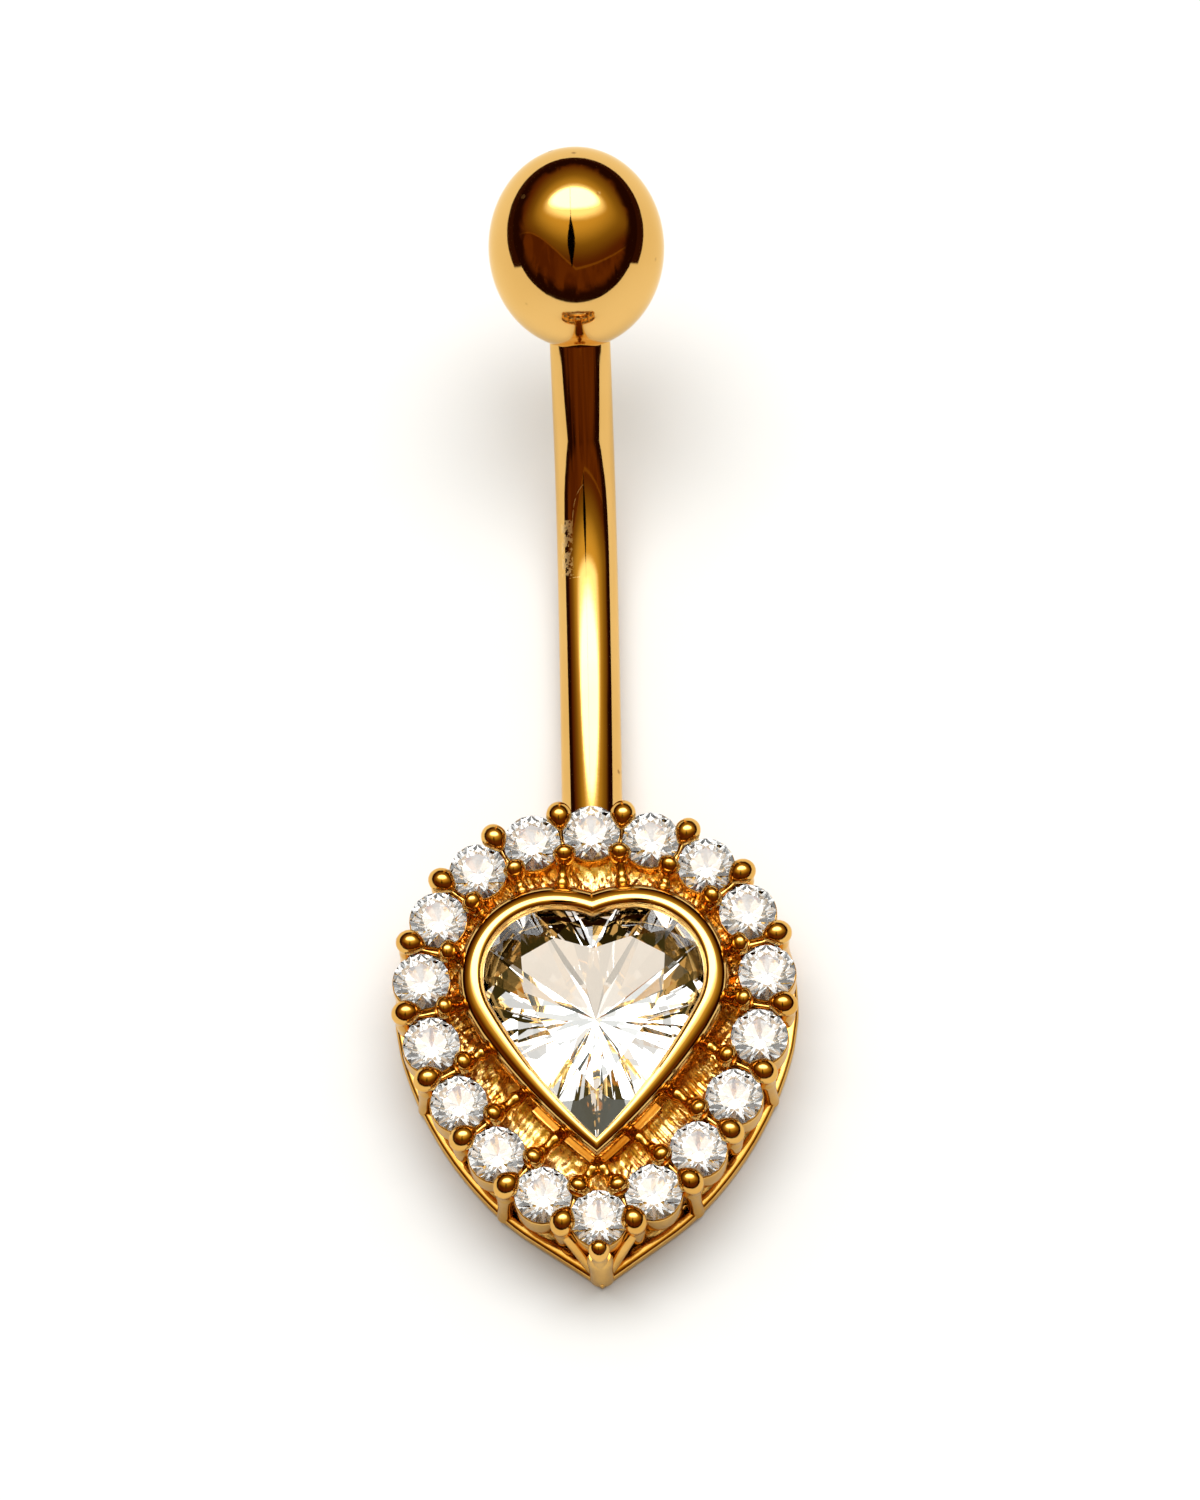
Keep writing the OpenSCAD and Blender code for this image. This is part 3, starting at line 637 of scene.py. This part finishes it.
# The bezel: its section runs from the ledge over the lip and the dome to its outer foot
bezel = {"width": 0.68, "tip": 0.6, "foot": 0.9, "rise": 0.48, "tuck": 0.1, "lipTop": 0.16, "ledge": 0.1,
         "ledgeDown": 0.5, "domeStart": 0.35, "peak": 0.28, "gap": 0.04, "steps": 150}
heartZ = plan["heartZ"]
lip = bezel["tuck"] + bezel["gap"]
wide = bezel["width"]
section = [(-bezel["ledge"], bezel["foot"]), (-bezel["ledge"], heartZ - bezel["ledgeDown"]), (lip, heartZ - 0.12),
           (lip, heartZ + 0.06), (0.012, heartZ + bezel["lipTop"] - 0.012), (0.0, heartZ + bezel["lipTop"] + 0.01)]
peak = wide * bezel["peak"]
for k in range(8):
    a = 176 - 86 * k / 7
    section.append((peak + peak * cosine(a),
                    heartZ + bezel["rise"] * (bezel["domeStart"] + (1 - bezel["domeStart"]) * sine(a))))
for k in range(1, 17):
    a = 90 - 88 * k / 16
    section.append((peak + (wide - peak) * cosine(a), heartZ + bezel["rise"] * sine(a)))
section += [(wide, heartZ - 0.05), (wide, bezel["foot"] + 0.2), (wide - 0.03, bezel["foot"] + 0.05),
            (wide - 0.12, bezel["foot"])]
heartBezel = ringPiece("heartBezel", section, lambda off: whole(setOut(
    heartShape, off, bezel["steps"], bezel["tip"] if off > lip else 1.0)), polishedGold, 42)
carriedBy(heartBezel, "jewelled_bar", "curved_bar_setting")

step = {"out": 0.17, "top": 2.42, "low": 1.55, "from": 0.80, "to": 0.985}
for sideName, flip in (("Right", 1), ("Left", -1)):
    inner = setOut(heartShape, wide - 0.12, 200, bezel["tip"])
    outer = setOut(heartShape, wide + step["out"], 200, bezel["tip"])
    first, last = int(200 * step["from"]), int(200 * step["to"])
    points = []
    for i in range(first, last + 1, 2):
        (ix, iy), (ox, oy) = inner[i], outer[i]
        for x, y, z in ((ix, iy, step["low"]), (ox, oy, step["low"]), (ox, oy, step["top"] - 0.03),
                        (ox + (ix - ox) * 0.12, oy + (iy - oy) * 0.12, step["top"]), (ix, iy, step["top"])):
            points.append((x * flip, y, z))
    size = 5
    rings = len(points) // size
    faces = loftFaces(rings, size) + [tuple(range(size)), tuple(range((rings - 1) * size, rings * size))]
    bezelStep = makePiece("bezelStep" + sideName, points, faces, wireGold, 30)
    carriedBy(bezelStep, "jewelled_bar", "curved_bar_setting")
print("bezel made")

# The base rim, drawn out to a point below the tip
rim = {"height": 0.45, "width": 0.55, "out": 0.8, "point": 1.3, "steps": 110}
rimPoint = (0.0, -plan["haloLength"] - rim["point"])
lowY = beside(plan["stoneCount"] / 2 - 1, rim["out"])[1]
rimOuter = evenly([p for p in setOut(halo, rim["out"], 64) if p[1] > lowY] + [rimPoint], rim["steps"])
rimInner = setOut(halo, rim["out"] - rim["width"], rim["steps"])


def rimRing(share):
    return whole([(a[0] + (b[0] - a[0]) * share, a[1] + (b[1] - a[1]) * share) for a, b in zip(rimInner, rimOuter)])


h = rim["height"]
section = [(0, 0.05), (0, h - 0.07), (0.05, h - 0.02), (0.14, h), (0.8, h), (0.9, h - 0.02), (0.97, h - 0.07),
           (1, h - 0.14), (1, 0.08), (0.96, 0.02), (0.9, 0), (0.1, 0), (0.04, 0.015)]
baseRim = ringPiece("baseRim", section, rimRing, wireGold, 45)
carriedBy(baseRim, "jewelled_bar", "curved_bar_setting")

castFloor = {"low": 1.3, "top": 1.86, "in": 0.47, "rows": 12, "steps": 300, "lump": 0.035, "seed": 7,
             "waves": ((17, 15), (41, 37), (67, 59)), "waveShares": (0.7, 0.5), "edgeRise": 0.22}
outerEdge = setOut(halo, -castFloor["in"], castFloor["steps"])
innerEdge = setOut(heartShape, wide - 0.05, castFloor["steps"], bezel["tip"])
rings = []
for row in range(castFloor["rows"] + 1):
    t = row / castFloor["rows"]
    rings.append([(a[0] + (b[0] - a[0]) * t, a[1] + (b[1] - a[1]) * t)
                  for a, b in zip(whole(outerEdge), whole(innerEdge))])
points = []
(broadX, broadY), (midX, midY), (fineX, fineY) = castFloor["waves"]
midShare, fineShare = castFloor["waveShares"]
for row, ring in enumerate(rings):
    swell = castFloor["edgeRise"] * (2 * abs(row / castFloor["rows"] - 0.5)) ** 2
    for x, y in ring:
        rough = (math.sin(x * broadX + castFloor["seed"]) * math.cos(y * broadY)
                 + midShare * math.sin(x * midX + y * midY) + fineShare * math.cos(x * fineX - y * fineY))
        points.append((x, y, castFloor["top"] + castFloor["lump"] * rough + swell))
for ring in (rings[-1], rings[0]):
    points += [(x, y, castFloor["low"]) for x, y in ring]
castFloorPiece = makePiece("castFloor", points, loftFaces(castFloor["rows"] + 3, len(rings[0]), True), castGold, 60)
carriedBy(castFloorPiece, "jewelled_bar", "curved_bar_setting")
print("rim and floor made")

def nodeInputs(tree, rows):
    tree.interface.new_socket("Geometry", in_out="INPUT", socket_type="NodeSocketGeometry")
    for name, kind in rows:
        tree.interface.new_socket(name, in_out="INPUT", socket_type=kind)
    tree.interface.new_socket("Geometry", in_out="OUTPUT", socket_type="NodeSocketGeometry")
    return tree.nodes.new("NodeGroupInput").outputs


def runTree(name, points, edges, attributes, tree, values, material, sharp):
    mesh = bpy.data.meshes.new(name + "Points")
    mesh.from_pydata([toFrame(p) for p in points], edges, [])
    for label, kind, numbers in attributes:
        mesh.attributes.new(label, kind, "POINT").data.foreach_set("value", numbers)
    holder = bpy.data.objects.new(name + "Points", mesh)
    bpy.context.scene.collection.objects.link(holder)
    modifier = holder.modifiers.new("nodes", "NODES")
    modifier.node_group = tree
    for item in tree.interface.items_tree:
        if item.in_out == "INPUT" and item.name in values:
            modifier[item.identifier] = values[item.name]
    bpy.context.view_layer.update()
    made = bpy.data.meshes.new_from_object(holder.evaluated_get(bpy.context.evaluated_depsgraph_get()))
    made.name = name
    bpy.data.objects.remove(holder)
    return finishPiece(name, made, material, sharp)


cup = {"mouth": 0.018, "low": 1.25, "top": 2.44, "light": 0.42, "belly": 0.76, "sides": 48}
stoneR = plan["stoneD"] / 2
mouthR = stoneR + cup["mouth"]
profile = [(cup["light"], cup["low"] + 0.03), (cup["light"] + 0.03, cup["low"]), (0.64, cup["low"]),
           (0.71, cup["low"] + 0.02), (0.74, cup["low"] + 0.08), (cup["belly"], cup["low"] + 0.22),
           (0.775, 1.75), (0.785, 2.1), (mouthR + 0.002, 2.34), (mouthR, cup["top"] - 0.03),
           (mouthR - 0.012, cup["top"] - 0.008), (mouthR - 0.03, cup["top"]), (0.725, cup["top"]),
           (0.70, cup["top"] - 0.02), (0.42, 2.165)]
points = [(r * cosine(360 * k / cup["sides"]), r * sine(360 * k / cup["sides"]), z)
          for r, z in profile for k in range(cup["sides"])]
mesh = bpy.data.meshes.new("cupShape")
mesh.from_pydata([(x * mm, y * mm, z * mm) for x, y, z in points], [],
                 loftFaces(len(profile), cup["sides"], True))
cupShape = bpy.data.objects.new("cupShape", mesh)
bpy.context.scene.collection.objects.link(cupShape)

cupTree = bpy.data.node_groups.new("cupsUnderStones", "GeometryNodeTree")
given = nodeInputs(cupTree, (("Cup", "NodeSocketObject"), ("Size", "NodeSocketFloat"),
                             ("Gold", "NodeSocketMaterial")))
info = addNode(cupTree, "GeometryNodeObjectInfo", {"Object": given["Cup"], "As Instance": True})
placed = addNode(cupTree, "GeometryNodeInstanceOnPoints", {
    "Points": given["Geometry"], "Instance": info.outputs["Geometry"], "Scale": given["Size"]})
real = addNode(cupTree, "GeometryNodeRealizeInstances", {"Geometry": placed.outputs["Instances"]})
coated = addNode(cupTree, "GeometryNodeSetMaterial", {"Geometry": real.outputs["Geometry"],
                                                      "Material": given["Gold"]})
addNode(cupTree, "NodeGroupOutput", {"Geometry": coated.outputs["Geometry"]})
spots = [(*beside(i, 0), 0.0) for i in range(plan["stoneCount"])]
stoneCups = runTree("stoneCups", spots, [], [], cupTree, {"Cup": cupShape, "Size": 1.0, "Gold": wireGold},
                    wireGold, 40)
bpy.data.objects.remove(cupShape)
carriedBy(stoneCups, "jewelled_bar", "curved_bar_setting")
print("cups made")

# One tree draws everything that is wire or bead along a path
wireTree = bpy.data.node_groups.new("drawnWire", "GeometryNodeTree")
given = nodeInputs(wireTree, (("Girth", "NodeSocketFloat"), ("Rings", "NodeSocketInt"), ("Sides", "NodeSocketInt"),
                              ("Wobble", "NodeSocketFloat"), ("Seed", "NodeSocketInt"),
                              ("Gold", "NodeSocketMaterial")))


def readPoint(tree, label, kind):
    return addNode(tree, "GeometryNodeInputNamedAttribute", {"Name": label}, data_type=kind).outputs["Attribute"]


curve = addNode(wireTree, "GeometryNodeMeshToCurve", {"Mesh": given["Geometry"]}).outputs[0]
curve = addNode(wireTree, "GeometryNodeCurveSplineType", {"Curve": curve}, spline_type="CATMULL_ROM").outputs[0]
curve = addNode(wireTree, "GeometryNodeResampleCurve", {"Curve": curve, "Count": given["Rings"]}).outputs[0]
shift = addNode(wireTree, "FunctionNodeRandomValue", {
    0: (-1, -1, -0.3), 1: (1, 1, 0.3), "ID": readPoint(wireTree, "which", "INT"), "Seed": given["Seed"]},
    data_type="FLOAT_VECTOR").outputs[0]
loose = calc(wireTree, "MULTIPLY", readPoint(wireTree, "loose", "FLOAT"), given["Wobble"])
moved = addNode(wireTree, "ShaderNodeVectorMath", {0: shift, "Scale": loose}, operation="SCALE").outputs[0]
curve = addNode(wireTree, "GeometryNodeSetPosition", {"Geometry": curve, "Offset": moved}).outputs[0]
girth = calc(wireTree, "MULTIPLY", readPoint(wireTree, "girth", "FLOAT"), given["Girth"])
girth = calc(wireTree, "MAXIMUM", girth, 1e-8)
circle = addNode(wireTree, "GeometryNodeCurvePrimitiveCircle", {"Resolution": given["Sides"], "Radius": 1.0})
solid = addNode(wireTree, "GeometryNodeCurveToMesh", {
    "Curve": curve, "Profile Curve": circle.outputs["Curve"], "Scale": girth, "Fill Caps": True}).outputs[0]
real = addNode(wireTree, "GeometryNodeRealizeInstances", {"Geometry": solid}).outputs[0]
coated = addNode(wireTree, "GeometryNodeSetMaterial", {"Geometry": real, "Material": given["Gold"]}).outputs[0]
addNode(wireTree, "NodeGroupOutput", {"Geometry": coated})


def drawnPiece(name, paths, values, material, sharp=60):
    # A path is a list of x, y, z, girth and looseness; place and girth in mm
    points, edges, girths, looses, which = [], [], [], [], []
    for number, path in enumerate(paths):
        start = len(points)
        for k, (x, y, z, g, free) in enumerate(path):
            points.append((x, y, z))
            girths.append(g * mm)
            looses.append(free)
            which.append(number)
            if k:
                edges.append((start + k - 1, start + k))
    attributes = (("girth", "FLOAT", girths), ("loose", "FLOAT", looses), ("which", "INT", which))
    values = {"Girth": 1.0, "Gold": material, **values}
    piece = runTree(name, points, edges, attributes, wireTree, values, material, sharp)
    carriedBy(piece, "jewelled_bar", "curved_bar_setting")
    return piece


prong = {"postR": 0.2, "beadR": 0.345, "innerBeadR": 0.31, "outerOff": 0.597, "innerOff": -0.585,
         "beadZ": 2.85, "rings": 72, "sides": 24, "innerRings": 52, "innerSides": 22, "tipRings": 60, "tipSides": 28,
         "wobble": 0.00002, "seed": 11}


def radialPath(i, rows):
    # Rows: off from the stones' centre line, height, girth, looseness
    path = []
    for off, z, g, free in rows:
        x, y = beside(i, off)
        path.append((x, y, z, g, free))
    return path


# Rows of a prong run from its foot up to the end of its bead, which leans over the stones.
# Every second outer post reaches down to the base rim.
o, post, bead, z = prong["outerOff"], prong["postR"], prong["beadR"], prong["beadZ"]
beadEnd = [(o - 0.10, 2.05, 0.275, 0.1), (o - 0.075, 2.3, 0.25, 0.4), (o - 0.045, 2.52, 0.235, 0.7),
           (o - 0.05, z - 0.14, bead * 0.84, 1), (o - 0.08, z - 0.03, bead * 0.95, 1), (o - 0.15, z + 0.03, bead, 1),
           (o - 0.25, z + 0.05, bead * 0.92, 1), (o - 0.36, z + 0.04, bead * 0.72, 1),
           (o - 0.46, z + 0.01, bead * 0.47, 1), (o - 0.53, z - 0.03, bead * 0.25, 1), (o - 0.56, z - 0.05, 0.0, 1)]
longFoot = [(o + 0.02, 0.2, 0.235, 0), (o + 0.015, 0.5, 0.215, 0), (o - 0.01, 1.0, post, 0),
            (o - 0.05, 1.55, 0.225, 0)]
shortFoot = [(o - 0.08, 1.02, 0.0, 0), (o - 0.08, 1.05, 0.1, 0), (o - 0.08, 1.14, 0.175, 0),
             (o - 0.085, 1.4, 0.22, 0), (o - 0.09, 1.7, 0.25, 0)]
paths = []
for i in range(plan["stoneCount"]):
    fromTip = abs(i + 0.5 - plan["stoneCount"] / 2) + 0.5
    paths.append(radialPath(i + 0.5, (longFoot if fromTip % 2 == 0 else shortFoot) + beadEnd))
drawnPiece("outerProngs", paths, {
    "Rings": prong["rings"], "Sides": prong["sides"], "Wobble": prong["wobble"], "Seed": prong["seed"]}, wireGold)

q = prong["innerOff"]
bead = prong["innerBeadR"]
inner = [(q - 0.03, 1.45, 0.19, 0), (q - 0.03, 2.0, 0.175, 0), (q - 0.03, 2.4, 0.18, 0.4),
         (q - 0.035, z - 0.22, bead * 0.85, 1), (q - 0.02, z - 0.08, bead * 0.97, 1), (q + 0.03, z + 0.01, bead, 1),
         (q + 0.10, z + 0.06, bead * 0.92, 1), (q + 0.165, z + 0.075, bead * 0.66, 1),
         (q + 0.205, z + 0.075, bead * 0.34, 1), (q + 0.22, z + 0.07, 0.0, 1)]
paths = [radialPath(i + 0.5, inner) for i in range(plan["stoneCount"])]
drawnPiece("innerProngs", paths, {
    "Rings": prong["innerRings"], "Sides": prong["innerSides"], "Wobble": prong["wobble"],
    "Seed": prong["seed"] + 1}, wireGold)

# Rolls from the inner prongs to the bezel's wall, thick and thin in turn
roll = {"z": 2.66, "fall": 0.16, "girth": 0.2, "wave": 0.5, "rows": 13, "rings": 34, "sides": 18}
wall = setOut(heartShape, wide - 0.06, 400, bezel["tip"])
wall += [(-x, y) for x, y in wall]
paths = []
for i in range(plan["stoneCount"]):
    x, y = beside(i + 0.5, q + 0.05)
    wx, wy = min(wall, key=lambda p: math.dist(p, (x, y)))
    length = math.dist((x, y), (wx, wy))
    waves = max(1, round(length / roll["wave"]))
    rows = []
    for k in range(roll["rows"]):
        t = k / (roll["rows"] - 1)
        swell = roll["girth"] * (0.88 + 0.17 * math.cos(2 * math.pi * (t * waves - 0.5)))
        rows.append((x + (wx - x) * t, y + (wy - y) * t, roll["z"] - roll["fall"] * t, swell, 0.5))
    paths.append(rows)
drawnPiece("innerRolls", paths, {
    "Rings": roll["rings"], "Sides": roll["sides"], "Wobble": prong["wobble"], "Seed": prong["seed"] + 2}, wireGold)

# Thin bridges between neighbouring stones, from prong to prong
bridge = {"z": 2.36, "girth": 0.085, "rings": 12, "sides": 14}
paths = []
for i in range(plan["stoneCount"]):
    rows = [(o - 0.05, bridge["z"] - 0.05, bridge["girth"] * 1.6, 0), (0.25, bridge["z"], bridge["girth"] * 1.1, 0),
            (0.0, bridge["z"], bridge["girth"] * 0.8, 0), (-0.25, bridge["z"], bridge["girth"] * 1.1, 0),
            (q, bridge["z"] - 0.05, bridge["girth"] * 1.5, 0)]
    paths.append(radialPath(i + 0.5, rows))
drawnPiece("stoneBridges", paths, {
    "Rings": bridge["rings"], "Sides": bridge["sides"], "Wobble": 0.0, "Seed": 0}, wireGold)

# The tip's prong, over a pillar that broadens up into the cups
tipAt = plan["stoneCount"] / 2
tipOff = stoneR + prong["postR"] + 0.04
rows = [(tipOff - 0.02, 1.5, 0.24, 0), (tipOff - 0.02, 2.2, 0.25, 0), (tipOff - 0.02, 2.55, 0.245, 0),
        (tipOff - 0.03, z - 0.12, 0.265, 0), (tipOff - 0.07, z + 0.02, 0.285, 0), (tipOff - 0.14, z + 0.09, 0.275, 0),
        (tipOff - 0.21, z + 0.115, 0.22, 0), (tipOff - 0.265, z + 0.115, 0.12, 0), (tipOff - 0.285, z + 0.11, 0.0, 0)]
drawnPiece("tipProng", [radialPath(tipAt, rows)], {
    "Rings": prong["tipRings"], "Sides": prong["tipSides"], "Wobble": 0.0, "Seed": 0}, wireGold)

# Its rows: height, half width, half depth
pillar = {"rows": ((0.06, 0.33, 0.26), (0.3, 0.33, 0.28), (0.6, 0.32, 0.28), (1.0, 0.32, 0.27), (1.4, 0.33, 0.26),
                   (1.8, 0.35, 0.25), (2.1, 0.34, 0.24), (2.35, 0.28, 0.2)), "sides": 48}
px, py = beside(tipAt, tipOff - 0.02)
points = [(px + halfWide * cosine(360 * k / pillar["sides"]), py + halfDeep * sine(360 * k / pillar["sides"]), zAt)
          for zAt, halfWide, halfDeep in pillar["rows"] for k in range(pillar["sides"])]
count = pillar["sides"]
rings = len(pillar["rows"])
faces = loftFaces(rings, count) + [tuple(range(count)), tuple(range((rings - 1) * count, rings * count))]
tipPillar = makePiece("tipPillar", points, faces, wireGold, 45)
carriedBy(tipPillar, "jewelled_bar", "curved_bar_setting")

# Thick arms sweep from the posts beside the tip down into the pillar's foot
# Their rows: share of the way, height, girth
arm = {"rows": ((0.0, 2.25, 0.17), (0.3, 1.75, 0.21), (0.62, 1.05, 0.24), (0.86, 0.5, 0.25), (1.0, 0.25, 0.22)),
       "rings": 26, "sides": 26}
paths = []
for i in (tipAt - 0.5, tipAt + 0.5):
    ax, ay = beside(i, o - 0.06)
    paths.append([(ax + (px - ax) * t, ay + (py + 0.06 - ay) * t, zAt, g, 0) for t, zAt, g in arm["rows"]])
drawnPiece("tipArms", paths, {"Rings": arm["rings"], "Sides": arm["sides"], "Wobble": 0.0, "Seed": 0}, wireGold)
print("prongs made")

# The stones keep their CAD facets
for name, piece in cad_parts.items():
    piece.data.materials.clear()
    piece.data.materials.append(
        clearStone if name == "heart_stone" else clearSmallStone if "stone" in name else polishedGold)
print("stones dressed")
